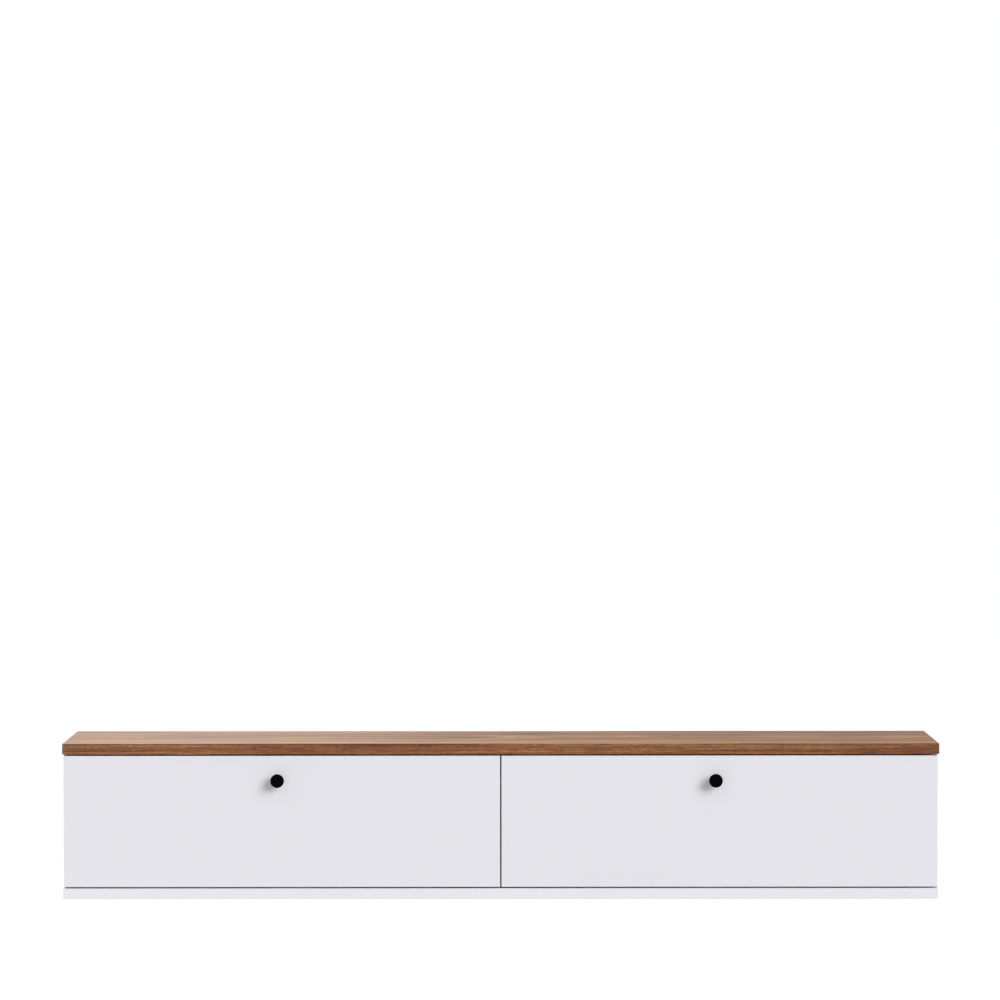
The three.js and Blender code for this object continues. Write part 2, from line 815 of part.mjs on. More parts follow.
/** Angle bracket on the door: a screwed leaf and an ear that carries the flap pin. */
function stayBracket(side) {
  const earSpan = [offSide(side, bracketFace), offSide(side, bracketFace + stayStock)];
  const seatY = doorBackY + seam;
  const ear = new THREE.Shape()
    .moveTo(seatY, flapPin.y - bracketRoot / 2)
    .lineTo(flapPin.x, flapPin.y - stayEye)
    .absarc(flapPin.x, flapPin.y, stayEye, -Math.PI / 2, Math.PI / 2, false)
    .lineTo(seatY, flapPin.y + bracketRoot / 2);
  ear.holes.push(circle(flapPin.x, flapPin.y, stayPinDiameter / 2 + seam));
  const leaf = roundedRectangle(
    [offSide(side, bracketFace), offSide(side, bracketFace + bracketWidth)],
    about(flapPin.y, bracketHeight),
    bracketCorner,
  );
  let bracket = alongY(leaf, [seatY, seatY + stayStock], cornerSteps).add(alongX(ear, earSpan));
  const holeX = offSide(side, bracketFace + (bracketWidth + stayStock) / 2);
  for (const step of [-1, 1]) {
    const hole = circle(holeX, flapPin.y + (step * bracketHolePitch) / 2, bracketHole / 2);
    bracket = bracket.subtract(alongY(hole, [doorBackY, seatY + stayStock + cutOverrun]));
  }
  return bracket;
}

/** Rivet from one distance off the side panel to another, headed at one end or at both. */
function stayRivet(side, centre, from, to, headedStart) {
  const shank = stayPinDiameter / 2;
  const head = stayPinHeadDiameter / 2;
  const length = to - from;
  const edge = stayPinHead / 2;
  const start = headedStart
    ? [
        [0, 0],
        [head - edge, 0],
        [head, edge],
        [head, stayPinHead],
        [shank, stayPinHead],
      ]
    : [
        [0, 0],
        [shank, 0],
      ];
  const profile = [
    ...start,
    [shank, length - stayPinHead],
    [head, length - stayPinHead],
    [head, length - edge],
    [head - edge, length],
    [0, length],
  ];
  return turnedOnX(profile, offSide(side, from), centre, -side);
}

/** Pin pressed into the damper housing, on which the crank turns. */
function damperPin(side) {
  const from = damperFace - stayPinSeat + seam;
  const to = crankFace + stayStock + seam + stayPinHead;
  return stayRivet(side, crankRoot, from, to, false);
}

/** Rivet that joins the crank to the link. */
function elbowPin(side) {
  const from = crankFace - seam - stayPinHead;
  const to = linkFace + stayStock + seam + stayPinHead;
  return stayRivet(side, crankPin, from, to, true);
}

/** Rivet through the bracket's ear and the link's far eye. */
function flapStayPin(side) {
  const from = linkFace - seam - stayPinHead;
  const to = bracketFace + stayStock + seam + stayPinHead;
  return stayRivet(side, flapPin, from, to, true);
}

/** Magnetic catch under the top: a moulded body with two steel poles in its front. */
function magneticCatch(side) {
  const bodyFrontY = poleFrontY + poleReach;
  const outline = roundedRectangle(
    about(side * catchMiddle, catchWidth),
    about(catchZ, catchHeight),
    catchCorner,
  );
  let body = alongY(outline, [bodyFrontY, bodyFrontY + catchDepth], cornerSteps);
  for (const step of [-1, 1]) {
    const pole = block(
      about(side * catchMiddle, poleWidth),
      [poleFrontY, bodyFrontY + poleReach],
      about(catchZ + (step * polePitch) / 2, poleStock),
    );
    body = body.add(pole);
  }
  return body;
}

function strikePlate(side) {
  const outline = roundedRectangle(
    about(side * catchMiddle, strikeWidth),
    about(catchZ, strikeHeight),
    strikeCorner,
  );
  const hole = circle(side * catchMiddle, catchZ, strikeHole / 2);
  const plate = alongY(outline, [doorBackY + seam, strikeRearY], cornerSteps);
  return plate.subtract(alongY(hole, [doorBackY, strikeRearY + cutOverrun]));
}

/** Domed bumper on the front edge of a side or of the divider. */
function bumper(x) {
  const radius = bumperDiameter / 2;
  const thickness = sideFrontY - doorBackY - 2 * seam;
  const profile = [
    [0, 0],
    [radius, 0],
    [radius, thickness - bumperRound],
    [radius - bumperRound, thickness],
    [0, thickness],
  ];
  const geometry = turned(profile).rotateX(Math.PI);
  return solidOf(geometry.translate(x, sideFrontY - seam, doorTopZ - bumperDrop));
}

function addCase(group) {
  group.add(meshOf("top_panel", topPanel(), finishes.walnut));
  group.add(meshOf("bottom_panel", bottomPanel(), finishes.whiteLacquer));
  group.add(meshOf("centre_divider", centreDivider(), finishes.whiteLacquer));
  group.add(meshOf("back_panel", backPanel(), finishes.whiteBack));
  group.add(meshOf("wall_rail", wallRail(), finishes.zinc));
}

/** Everything that belongs to one side of the console. */
function addSide(group, word, side) {
  const add = (name, solid, finish) => group.add(meshOf(`${word}_${name}`, solid, finish));
  add("side_panel", sidePanel(side), finishes.whiteLacquer);
  add("hanger_box", hangerBox(side), finishes.whitePlastic);
  add("hanger_hook", hangerHook(side), finishes.zinc);
  add("cable_grommet", cableGrommet(side), finishes.whitePlastic);
  add("door", door(side), finishes.whiteLacquer);
  add("knob", knob(side), finishes.blackKnob);
  add("knob_screw", knobScrew(side), finishes.zinc);
  for (const [place, x] of Object.entries(hingePlaces(side))) {
    add(`${place}_hinge_housing`, hingeHousing(x), finishes.nickel);
    add(`${place}_hinge_pin`, hingePin(x), finishes.zinc);
    add(`${place}_hinge_arm`, hingeArm(x), finishes.nickel);
    add(`${place}_hinge_plate`, hingePlate(x), finishes.nickel);
  }
  add("stay_housing", stayHousing(side), finishes.greyPlastic);
  add("stay_crank", stayCrank(side), finishes.nickel);
  add("stay_link", stayLink(side), finishes.nickel);
  add("stay_bracket", stayBracket(side), finishes.nickel);
  add("stay_damper_pin", damperPin(side), finishes.zinc);
  add("stay_elbow_pin", elbowPin(side), finishes.zinc);
  add("stay_flap_pin", flapStayPin(side), finishes.zinc);
  add("magnetic_catch", magneticCatch(side), finishes.whitePlastic);
  add("strike_plate", strikePlate(side), finishes.nickel);
  const sideEdge = side * (innerHalf + panelThickness / 2);
  const dividerEdge = (side * (doorGap / 2 + dividerHalf)) / 2;
  add("outer_bumper", bumper(sideEdge), finishes.clearRubber);
  add("inner_bumper", bumper(dividerEdge), finishes.clearRubber);
}

const cabinet = new THREE.Group();
cabinet.position.z = -originHeight;
addCase(cabinet);
addSide(cabinet, "left", -1);
addSide(cabinet, "right", 1);

const part = new THREE.Group();
part.name = "floating_media_console";
part.add(cabinet);

export default part;
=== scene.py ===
import json
import math

import bmesh
import bpy
from mathutils import Matrix, Vector


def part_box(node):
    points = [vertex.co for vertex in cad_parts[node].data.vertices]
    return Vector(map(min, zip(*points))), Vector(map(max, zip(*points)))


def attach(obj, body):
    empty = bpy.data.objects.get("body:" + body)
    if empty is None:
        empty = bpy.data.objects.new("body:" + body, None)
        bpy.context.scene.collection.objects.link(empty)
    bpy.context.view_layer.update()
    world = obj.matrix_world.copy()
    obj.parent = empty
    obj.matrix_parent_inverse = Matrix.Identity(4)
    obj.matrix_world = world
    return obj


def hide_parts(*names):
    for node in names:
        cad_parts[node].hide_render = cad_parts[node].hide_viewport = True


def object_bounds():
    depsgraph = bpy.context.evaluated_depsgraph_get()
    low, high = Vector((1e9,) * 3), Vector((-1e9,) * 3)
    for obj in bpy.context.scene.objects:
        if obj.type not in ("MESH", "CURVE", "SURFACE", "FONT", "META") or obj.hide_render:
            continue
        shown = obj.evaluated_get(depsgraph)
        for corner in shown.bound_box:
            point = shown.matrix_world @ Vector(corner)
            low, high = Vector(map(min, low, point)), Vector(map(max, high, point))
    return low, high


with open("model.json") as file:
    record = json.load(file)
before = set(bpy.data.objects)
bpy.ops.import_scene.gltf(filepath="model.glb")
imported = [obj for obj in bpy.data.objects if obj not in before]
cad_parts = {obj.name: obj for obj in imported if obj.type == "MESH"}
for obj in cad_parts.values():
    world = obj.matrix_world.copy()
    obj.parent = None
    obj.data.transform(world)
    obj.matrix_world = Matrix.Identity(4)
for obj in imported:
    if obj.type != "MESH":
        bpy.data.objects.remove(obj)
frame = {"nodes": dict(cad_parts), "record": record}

CAD_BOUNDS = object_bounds()
NODES = frame["nodes"]
SIDES = {"left": -1, "right": 1}
MM = 0.001


class Graph:
    """A node tree, with one short call for each kind of node that is used here."""

    def __init__(self, tree):
        self.tree = tree

    def node(self, kind, inputs=None, **settings):
        made = self.tree.nodes.new(kind)
        for key, value in settings.items():
            setattr(made, key, value)
        for key, value in (inputs or {}).items():
            self.feed(made.inputs[key], value)
        return made

    def feed(self, socket, value):
        """Links an output to a socket, or sets the socket to a value."""
        if isinstance(value, bpy.types.NodeSocket):
            self.tree.links.new(value, socket)
        else:
            socket.default_value = value

    def parts(self, vector):
        """The X, Y and Z of a vector."""
        return self.node("ShaderNodeSeparateXYZ", {"Vector": vector}).outputs

    def noise(self, vector, scale=1.0, detail=2.0, roughness=0.5, distortion=0.0):
        inputs = {
            "Vector": vector,
            "Scale": scale,
            "Detail": detail,
            "Roughness": roughness,
            "Distortion": distortion,
        }
        return self.node("ShaderNodeTexNoise", inputs).outputs["Fac"]

    def math(self, operation, first, second=0.0, third=0.0):
        made = self.node("ShaderNodeMath", operation=operation)
        for socket, value in zip(made.inputs, (first, second, third)):
            self.feed(socket, value)
        return made.outputs["Value"]

    def between(self, level, low, high):
        """Runs evenly from low to high as the level goes from 0 to 1."""
        return self.math("MULTIPLY_ADD", level, high - low, low)

    def ease(self, value, span, results):
        """Runs smoothly from the first result to the second as the value crosses its span."""
        inputs = {
            "Value": value,
            "From Min": span[0],
            "From Max": span[1],
            "To Min": results[0],
            "To Max": results[1],
        }
        return self.node("ShaderNodeMapRange", inputs, interpolation_type="SMOOTHSTEP").outputs["Result"]

    def ramp(self, factor, stops):
        made = self.node("ShaderNodeValToRGB", {"Fac": factor})
        elements = made.color_ramp.elements
        while len(elements) < len(stops):
            elements.new(0.5)
        for element, (position, colour) in zip(elements, stops):
            element.position = position
            element.color = (*colour, 1)
        return made.outputs["Color"]

    def grey_ramp(self, factor, stops):
        return self.ramp(factor, [(at, (value, value, value)) for at, value in stops])

    def mix(self, factor, first, second, blend="MIX"):
        """Mixes two colours, each an output or a tuple of three numbers."""
        made = self.node("ShaderNodeMix", data_type="RGBA", blend_type=blend)
        self.feed(made.inputs["Factor"], factor)
        for socket, value in zip((made.inputs[6], made.inputs[7]), (first, second)):
            self.feed(socket, (*value, 1) if isinstance(value, tuple) else value)
        return made.outputs[2]

    def tint(self, colour, tone, strength=1.0):
        """Multiplies a colour by a tone, as far as the strength says."""
        return self.mix(strength, colour, tone, "MULTIPLY")

    def bump(self, height, strength, distance):
        inputs = {"Height": height, "Strength": strength, "Distance": distance}
        return self.node("ShaderNodeBump", inputs).outputs["Normal"]


class Finish(Graph):
    """The node tree of a new material, whose noises lie in the object's own metres."""

    def __init__(self, name):
        self.material = bpy.data.materials.new(name)
        self.material.use_nodes = True
        super().__init__(self.material.node_tree)
        self.shader = self.tree.nodes["Principled BSDF"]

    def coordinates(self):
        return self.node("ShaderNodeTexCoord").outputs

    def grain(self, scale, **settings):
        """Noise of the same scale all ways."""
        return self.noise(self.coordinates()["Object"], scale, **settings)

    def stretched(self, point, scale, start=(0, 0, 0), **settings):
        """Noise with a scale of its own each way."""
        inputs = {"Vector": point, "Scale": scale, "Location": start}
        return self.noise(self.node("ShaderNodeMapping", inputs).outputs["Vector"], **settings)

    def set(self, **inputs):
        """Sets the shader's sockets, underscores standing for spaces."""
        for key, value in inputs.items():
            self.feed(self.shader.inputs[key.replace("_", " ")], value)
        return self


WHITE = (1.0, 1.0, 1.0)

# Each noise of the wood: repeats per metre along, across and through the grain, its start, its settings
WOOD_NOISES = {
    "drift": ((0.8, 7, 7), (4, 2, 1), {"detail": 2, "distortion": 0.8}),
    "figure": ((1.9, 34, 90), (3, 1, 2), {"detail": 4, "roughness": 0.6, "distortion": 0.5}),
    "lines": ((2.2, 110, 190), (6, 4, 9), {"detail": 4, "roughness": 0.65, "distortion": 0.3}),
    "band": ((4.5, 95, 260), (1, 6, 3), {"detail": 5, "roughness": 0.62, "distortion": 0.25}),
    "streak": ((18, 360, 430), (7, 3, 5), {"detail": 5, "roughness": 0.65, "distortion": 0.15}),
    "fleck": ((130, 430, 430), (5, 5, 2), {"detail": 4, "roughness": 0.7}),
    "fibre": ((40, 1300, 1300), (0, 0, 0), {"detail": 3, "roughness": 0.65}),
    "pore": ((70, 1700, 1700), (2, 9, 4), {"detail": 1}),
    "hue": ((1.6, 20, 40), (8, 8, 8), {"detail": 3, "distortion": 0.4}),
    "sway": ((1.6, 3, 3), (5, 1, 2), {"detail": 3}),
    "lift": ((2.3, 6, 6), (2, 7, 1), {"detail": 3}),
}

# How much each noise counts in the wood's level, and the colours that the level stands for
LEVEL_SHARES = {"drift": 0.14, "figure": 0.18, "band": 0.24}
RING_SHARE = 0.44
WALNUT_COLOURS = [
    (0.40, (0.092, 0.032, 0.012)),
    (0.465, (0.180, 0.068, 0.024)),
    (0.52, (0.246, 0.101, 0.038)),
    (0.59, (0.350, 0.168, 0.074)),
]

# Tones laid over the level's colour
HUE_TONES = [(0.38, (1.06, 0.94, 0.92)), (0.52, WHITE), (0.64, (0.96, 1.02, 1.0))]
STREAK_TONES = [(0.32, (0.54, 0.44, 0.40)), (0.50, (1.0, 0.98, 0.96)), (0.68, (1.24, 1.28, 1.34))]
FLECK_TONES = [(0.32, 0.52), (0.5, 1.0), (0.68, 1.28)]
SHEET_CONTRAST = 0.7
FIBRE_TONES = [(0.30, 0.66), (0.55, 1.0), (0.75, 1.14)]
FIBRE_STRENGTH = 0.75
FIBRE_RELIEF = 0.5
PORE_STEPS = [(0.60, 0.0), (0.70, 1.0)]
PORE_COLOUR = (0.060, 0.024, 0.012)
PORE_STRENGTH = 0.55
PORE_DEPTH = 0.12 * MM

# Tones along the board, from its left end at 0 to its right end at 1. Both carry painted light: the edge band
# is greyer and lighter at its left end as a painted sheen that fades towards the right, and the sheet is
# lighter than the bands, partly its own veneer and partly painted light from above, with painted shade
# towards its right end
EDGE_BAND_TONES_AND_PAINTED_LIGHT = [(0.0, (1.10, 1.17, 1.13)), (0.45, (0.98, 0.93, 0.77)), (1.0, (0.90, 0.81, 0.62))]
SHEET_TONES_AND_PAINTED_LIGHT = [(0.76, (1.19, 1.31, 1.05)), (1.0, (1.06, 1.17, 0.93))]

# The lighter strip along the sheet's front is a painted highlight along the front arris, and the dark line
# where the edge band meets the sheet is painted arris shade as well as the glue joint
HIGHLIGHT_STRIP_DEPTH = (60 * MM, 96 * MM)
HIGHLIGHT_STRIP_SWAY = 36 * MM
PAINTED_HIGHLIGHT_TONE = (1.31, 1.32, 1.33)
HIGHLIGHT_STRIP_STRENGTHS = [(0.05, 0.2), (0.33, 0.75), (0.52, 1.0), (0.82, 0.95), (0.98, 0.1)]
JOINT_AND_SHADE_LINE = 1.5 * MM
JOINT_AND_ARRIS_SHADE_TONE = (0.5, 0.5, 0.5)

# The crown figure: where its centre line and its rings lie, and how far they wander
CROWN_CENTRE = 150 * MM
CROWN_SWAY = 70 * MM
CROWN_DEPTH = 90 * MM
CROWN_LIFT = 90 * MM
CROWN_SLOPE = 0.055
RINGS_PER_METRE = 85

# How squarely a face has to look up or sideways to count as the sheet or as a board's end
SHEET_FACING = 0.5
END_FACING = 0.7


class Wood(Finish):
    """A veneered board, its grain along X but on the bands of its ends, where it runs along Y."""

    def __init__(self, name):
        super().__init__(name)
        coordinates = self.coordinates()
        normal = self.parts(coordinates["Normal"])
        on_ends = self.math("GREATER_THAN", self.math("ABSOLUTE", normal["X"]), END_FACING)
        self.on_sheet = self.math("GREATER_THAN", self.math("ABSOLUTE", normal["Z"]), SHEET_FACING)
        self.where = self.parts(coordinates["Object"])
        across = {"X": self.where["Y"], "Y": self.where["X"], "Z": self.where["Z"]}
        turned_point = self.node("ShaderNodeCombineXYZ", across).outputs["Vector"]
        self.point = self.mix(on_ends, coordinates["Object"], turned_point)
        self.sway = self.drawn("sway")
        self.low, self.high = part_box("top_panel")
        self.along = self.math("MULTIPLY_ADD", self.where["X"], 1 / (self.high.x - self.low.x), 0.5)

    def drawn(self, name):
        """A noise of the table, drawn out along the grain."""
        scale, start, settings = WOOD_NOISES[name]
        return self.stretched(self.point, scale, start, **settings)

    def crown_rings(self):
        """Growth rings cut by a flat sheet: long arches that narrow along the grain."""
        aside = self.math("MULTIPLY_ADD", self.sway, CROWN_SWAY, self.where["Y"])
        aside = self.math("ADD", aside, CROWN_CENTRE - CROWN_SWAY / 2)
        depth = self.math("MULTIPLY_ADD", self.where["X"], CROWN_SLOPE, CROWN_DEPTH - CROWN_LIFT / 2)
        depth = self.math("MULTIPLY_ADD", self.drawn("lift"), CROWN_LIFT, depth)
        squares = self.math("ADD", self.math("MULTIPLY", aside, aside), self.math("MULTIPLY", depth, depth))
        radius = self.math("MULTIPLY", self.math("SQRT", squares), RINGS_PER_METRE)
        ring_point = self.node("ShaderNodeCombineXYZ", {"X": radius, "Y": self.where["X"], "Z": 0.5})
        return self.noise(ring_point.outputs["Vector"], detail=4, roughness=0.6)

    def broad_colour(self):
        """The wood's broad light and dark, with rings on the sheet and long lines on the edges."""
        rings = self.mix(self.on_sheet, self.drawn("lines"), self.crown_rings())
        level = self.math("MULTIPLY", rings, RING_SHARE)
        for name, share in LEVEL_SHARES.items():
            level = self.math("MULTIPLY_ADD", self.drawn(name), share, level)
        return self.tint(self.ramp(level, WALNUT_COLOURS), self.ramp(self.drawn("hue"), HUE_TONES))

    def streaked(self, colour):
        """Lays streaks and short flecks over a colour, calmer on the sheet than on the edges."""
        contrast = self.between(self.on_sheet, 1.0, SHEET_CONTRAST)
        colour = self.tint(colour, self.ramp(self.drawn("streak"), STREAK_TONES), contrast)
        return self.tint(colour, self.grey_ramp(self.drawn("fleck"), FLECK_TONES), contrast)

    def sheet_tone_and_painted_light(self):
        """The sheet's tone along the board, partly its own veneer and partly painted light, with painted
        shade towards the right end and a painted highlight in a wandering strip along the front.
        """
        wandering = self.math("MULTIPLY_ADD", self.sway, HIGHLIGHT_STRIP_SWAY, self.where["Y"])
        painted_highlight = self.ease(wandering, [self.low.y + depth for depth in HIGHLIGHT_STRIP_DEPTH], (1, 0))
        painted_highlight = self.math("MULTIPLY", painted_highlight, self.grey_ramp(self.along, HIGHLIGHT_STRIP_STRENGTHS))
        return self.tint(self.ramp(self.along, SHEET_TONES_AND_PAINTED_LIGHT), self.mix(painted_highlight, WHITE, PAINTED_HIGHLIGHT_TONE))

    def band_tone_and_painted_light(self):
        """The edge band's tone along the board, with a painted sheen at its left end, and dark in the line
        under the sheet, which is painted arris shade as well as the glue joint.
        """
        joint_and_shade = self.math("GREATER_THAN", self.where["Z"], self.high.z - JOINT_AND_SHADE_LINE)
        return self.tint(self.ramp(self.along, EDGE_BAND_TONES_AND_PAINTED_LIGHT), self.mix(joint_and_shade, WHITE, JOINT_AND_ARRIS_SHADE_TONE))


def walnut():
    """Open-pored walnut veneer under a satin coat."""
    wood = Wood("walnut_veneer")
    fibre = wood.drawn("fibre")
    pores = wood.grey_ramp(wood.drawn("pore"), PORE_STEPS)
    colour = wood.streaked(wood.broad_colour())
    colour = wood.tint(colour, wood.grey_ramp(fibre, FIBRE_TONES), FIBRE_STRENGTH)
    # The bands' and the sheet's tones, which carry painted sheen, painted highlight and painted shade
    colour = wood.tint(colour, wood.mix(wood.on_sheet, wood.band_tone_and_painted_light(), wood.sheet_tone_and_painted_light()))
    height = wood.math("SUBTRACT", wood.math("MULTIPLY", fibre, FIBRE_RELIEF), pores)
    return wood.set(
        Base_Color=wood.mix(wood.math("MULTIPLY", pores, PORE_STRENGTH), colour, PORE_COLOUR),
        Roughness=wood.between(fibre, 0.46, 0.60),
        Normal=wood.bump(height, 0.25, PORE_DEPTH),
        IOR=1.45,
    ).material


def lacquer(name, colour):
    """Smooth sprayed lacquer: a breath of orange peel and very slight unevenness of tone."""
    g = Finish(name)
    cloud = g.grain(2.2, detail=3)
    peel = g.math("MULTIPLY_ADD", g.grain(2600, detail=1), 0.2, g.grain(420, detail=2))
    return g.set(
        Base_Color=g.tint(colour, g.grey_ramp(cloud, [(0.3, 0.978), (0.7, 1.0)])),
        Roughness=g.between(cloud, 0.43, 0.49),
        Normal=g.bump(peel, 0.06, 0.05 * MM),
        Coat_Weight=0.1,
        Coat_Roughness=0.35,
    ).material


def hardboard():
    """Thin fibreboard: white film on the face, and the raw brown felted side towards the wall."""
    g = Finish("white_hardboard")
    fibre = g.grain(260, detail=6, roughness=0.7)
    fleck = g.grey_ramp(g.grain(900, detail=2), [(0.35, 0.55), (0.6, 1.0)])
    raw = g.ramp(fibre, [(0.35, (0.17, 0.095, 0.050)), (0.65, (0.33, 0.205, 0.120))])
    film = g.grey_ramp(fibre, [(0.3, 0.67), (0.7, 0.70)])
    rear = g.math("GREATER_THAN", g.parts(g.coordinates()["Normal"])["Y"], 0.5)
    return g.set(
        Base_Color=g.mix(rear, film, g.tint(raw, fleck, 0.25)),
        Roughness=g.between(rear, 0.45, 0.80),
        Normal=g.bump(fibre, 0.15, 0.2 * MM),
    ).material


def black_lacquer():
    """Satin black lacquer on turned metal."""
    g = Finish("black_knob")
    wear = g.grain(90, detail=3)
    return g.set(
        Base_Color=g.ramp(wear, [(0.35, (0.0003, 0.0003, 0.0007)), (0.7, (0.0007, 0.0006, 0.0015))]),
        Roughness=g.between(wear, 0.25, 0.35),
        Normal=g.bump(g.grain(1500, detail=3), 0.12, 0.03 * MM),
        Specular_IOR_Level=0.035,
    ).material


def plated(name, dark, light, roughness, drawn_scale):
    """Plated pressed steel: a faint mottle, drawn lines and rubbed roughness."""
    g = Finish(name)
    mottle = g.grain(160, detail=4, roughness=0.6)
    drawn = g.stretched(g.coordinates()["Object"], drawn_scale, detail=2)
    return g.set(
        Base_Color=g.ramp(mottle, [(0.35, dark), (0.68, light)]),
        Metallic=1.0,
        Roughness=g.between(mottle, roughness - 0.05, roughness + 0.05),
        Normal=g.bump(drawn, 0.10, 0.04 * MM),
    ).material


POLE_REACH = 1.1 * MM
POLE_COLOUR = (0.60, 0.59, 0.57)
POLE_ROUGHNESS = 0.32
MOULDED_ROUGHNESS = 0.5


def moulded(name, colour, steel_before=None):
    """Moulded plastic with a fine spark-eroded texture; what lies in front of steel_before is steel."""
    g = Finish(name)
    texture = g.grain(1900, detail=2)
    colour = g.tint(colour, g.grey_ramp(g.grain(30, detail=2), [(0.3, 0.94), (0.7, 1.0)]))
    rough = g.between(texture, MOULDED_ROUGHNESS - 0.05, MOULDED_ROUGHNESS + 0.05)
    if steel_before is not None:
        steel = g.math("LESS_THAN", g.parts(g.coordinates()["Object"])["Y"], steel_before)
        colour = g.mix(steel, colour, POLE_COLOUR)
        rough = g.math("MULTIPLY_ADD", steel, POLE_ROUGHNESS - MOULDED_ROUGHNESS, rough)
        g.set(Metallic=steel)
    return g.set(Base_Color=colour, Roughness=rough, Normal=g.bump(texture, 0.3, 0.05 * MM)).material


def clear_rubber():
    """Soft clear bumper with a faint haze."""
    g = Finish("clear_rubber")
    haze = g.grain(700, detail=2)
    return g.set(
        Base_Color=g.grey_ramp(haze, [(0.3, 0.72), (0.7, 0.86)]),
        Roughness=g.between(haze, 0.2, 0.4),
        Transmission_Weight=0.55,
        IOR=1.46,
    ).material


WHITE_MOULDING = (0.69, 0.69, 0.675)
CATCH_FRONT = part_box("left_magnetic_catch")[0].y
NICKEL = ((0.60, 0.58, 0.545), (0.70, 0.68, 0.64), 0.30, (2500, 90, 2500))
ZINC = ((0.50, 0.52, 0.56), (0.70, 0.71, 0.72), 0.38, (90, 2500, 2500))
MATERIALS = {
    "walnut_veneer": walnut(),
    "white_lacquer": lacquer("white_lacquer", (0.790, 0.782, 0.830)),
    "white_board": lacquer("white_board", (0.815, 0.806, 0.854)),
    "white_hardboard": hardboard(),
    "black_knob": black_lacquer(),
    "nickel_steel": plated("nickel_steel", *NICKEL),
    "zinc_plated_steel": plated("zinc_plated_steel", *ZINC),
    "grey_plastic": moulded("grey_plastic", (0.255, 0.262, 0.272)),
    "white_plastic": moulded("white_plastic", WHITE_MOULDING),
    "clear_rubber": clear_rubber(),
    "catch_plastic": moulded("catch_plastic", WHITE_MOULDING, steel_before=CATCH_FRONT + POLE_REACH),
}

# The bottom board's banding is a shade brighter than the doors, and the catches have steel poles
SPECIAL_FINISH = {
    "bottom_panel": "white_board",
    "left_magnetic_catch": "catch_plastic",
    "right_magnetic_catch": "catch_plastic",
}

# Rounding of the arrises of the CAD nodes, by the end of the node's name
ARRISES = {
    "top_panel": 0.9 * MM,
    "panel": 0.6 * MM,
    "divider": 0.5 * MM,
    "door": 0.7 * MM,
    "rail": 0.3 * MM,
    "hanger_box": 0.5 * MM,
    "catch": 0.4 * MM,
    "stay_housing": 0.6 * MM,
    "back_panel": 0.2 * MM,
}
FINE_ARRIS = 0.2 * MM
SMOOTH_ANGLE = math.radians(30)
WELD = 0.002 * MM


def arris_of(name):
    """The longest ending that fits a node's name decides."""
    fits = [key for key in ARRISES if name.endswith(key)]
    return ARRISES[max(fits, key=len)] if fits else FINE_ARRIS


def dress(node, name, material):
    """Gives a CAD node its material, rounded arrises and smooth round faces."""
    if node.material_slots:
        node.material_slots[0].material = material
    else:
        node.data.materials.append(material)
    for polygon in node.data.polygons:
        polygon.use_smooth = True
        polygon.material_index = 0
    weld = node.modifiers.new("weld", "WELD")
    weld.merge_threshold = WELD
    bevel = node.modifiers.new("arrises", "BEVEL")
    bevel.width = arris_of(name)
    bevel.segments = 2
    bevel.limit_method = "ANGLE"
    bevel.angle_limit = SMOOTH_ANGLE
    bevel.use_clamp_overlap = True
    node.modifiers.new("normals", "WEIGHTED_NORMAL").keep_sharp = True


def dress_frame():
    """Gives every CAD node the finish of its slot, or its special one."""
    for row in frame["record"]["subparts"]:
        finish = SPECIAL_FINISH.get(row["node"], row["material_slot"])
        dress(NODES[row["node"]], row["node"], MATERIALS[finish])


def new_object(name, data):
    """A new object in the scene."""
    made = bpy.data.objects.new(name, data)
    bpy.context.scene.collection.objects.link(made)
    return made


def piece_from(mesh_maker, name, body, slot):
    """Makes a piece from a function that fills a bmesh, and lets it ride on a body."""
    bm = bmesh.new()
    mesh_maker(bm)
    bmesh.ops.remove_doubles(bm, verts=bm.verts, dist=WELD / 2)
    bmesh.ops.recalc_face_normals(bm, faces=bm.faces)
    mesh = bpy.data.meshes.new(name)
    bm.to_mesh(mesh)
    bm.free()
    mesh.materials.append(MATERIALS[slot])
    mesh.shade_smooth()
    mesh.set_sharp_from_angle(angle=SMOOTH_ANGLE)
    piece = new_object(name, mesh)
    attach(piece, body)
    return piece


def centre_of(node):
    """The middle of a CAD node's box."""
    low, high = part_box(node)
    return (low + high) / 2


def facing(point, direction):
    """The matrix that stands local Z along a direction at a point."""
    turn = Vector(direction).to_track_quat("Z", "Y").to_matrix().to_4x4()
    return Matrix.Translation(point) @ turn


def circle_point(radius, step, steps, height):
    angle = 2 * math.pi * step / steps
    return Vector((radius * math.cos(angle), radius * math.sin(angle), height))


def arc(centre, radius, start, end, steps):
    """Points of an arc in a profile, angles in degrees from the radial direction."""
    points = []
    for step in range(steps + 1):
        angle = math.radians(start + (end - start) * step / steps)
        points.append((centre[0] + radius * math.cos(angle), centre[1] + radius * math.sin(angle)))
    return points


def turned(bm, profile, steps, matrix):
    """Adds a turned body: profile of (radius, place along the local Z axis), closed on the axis."""
    rings = []
    for radius, along in profile:
        count = steps if radius else 1
        rings.append([bm.verts.new(matrix @ circle_point(radius, s, steps, along)) for s in range(count)])
    for low, high in zip(rings, rings[1:]):
        for step in range(steps):
            following = (step + 1) % steps
            corners = [low[step % len(low)], low[following % len(low)]]
            corners += [high[following % len(high)], high[step % len(high)]]
            unique = list(dict.fromkeys(corners))
            if len(unique) > 2:
                bm.faces.new(unique)


